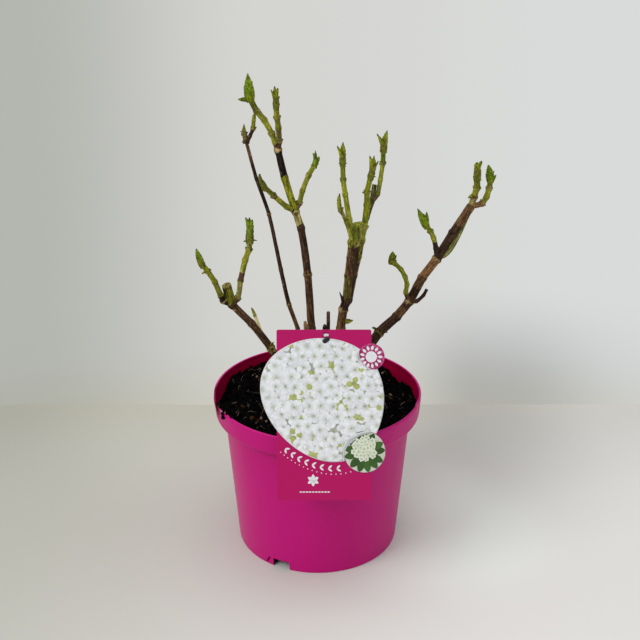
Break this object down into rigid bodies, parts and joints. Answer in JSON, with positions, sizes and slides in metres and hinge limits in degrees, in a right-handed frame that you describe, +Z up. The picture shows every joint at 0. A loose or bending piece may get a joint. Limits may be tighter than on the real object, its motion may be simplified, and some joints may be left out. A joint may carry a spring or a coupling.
{
  "type": "potted hydrangea shrub",
  "caption": "Young garden shrub in late winter, bare woody canes with opening green shoots, in a tapered nursery pot of compost with a hanging picture label.",
  "frame": {"origin": "centre of the pot's flat underside, on the ground", "axes": "+Z up along the pot's axis, -Y towards the label's face (the front), +X to the right seen from the front"},
  "size_m": [0.3151, 0.2509, 0.5213],
  "materials": {
    "pot_plastic": "satin magenta",
    "compost": "moist dark peat compost",
    "bark": "rough brown bark with pale lenticels",
    "dead_wood": "dry dark dead wood",
    "pale_wood": "bare pale pith and frayed wood",
    "shoot": "soft green shoot with young leaves",
    "label_card": "printed plastic card, slight sheen",
    "strap": "black plastic tie"
  },
  "bodies": {
    "root": {"pot": "pot_plastic", "soil": "compost", "cane_left": "bark", "cane_thin": "bark", "cane_tall": "bark", "cane_middle": "bark", "cane_middle_right": "bark", "cane_right": "bark", "stem_straight": "bark", "stem_middle_rear": "bark", "stub_left": "bark", "stub_pale": "pale_wood", "stub_right_dark": "dead_wood", "shoot_left_outer": "shoot", "shoot_left_inner": "shoot", "shoot_young": "shoot", "bud_thin": "shoot", "twig_thin": "shoot", "shoot_tall_left": "shoot", "shoot_tall_right": "shoot", "shoot_low_left": "shoot", "shoot_low_right": "shoot", "shoot_middle_left": "shoot", "twig_middle": "shoot", "bud_middle": "shoot", "shoot_middle_front": "shoot", "shoot_middle_rear": "shoot", "shoot_right_curved": "shoot", "shoot_right_inner": "shoot", "shoot_right_top_left": "shoot", "shoot_right_top_right": "shoot", "label_card": "label_card", "label_strap": "strap"}
  },
  "joints": []
}
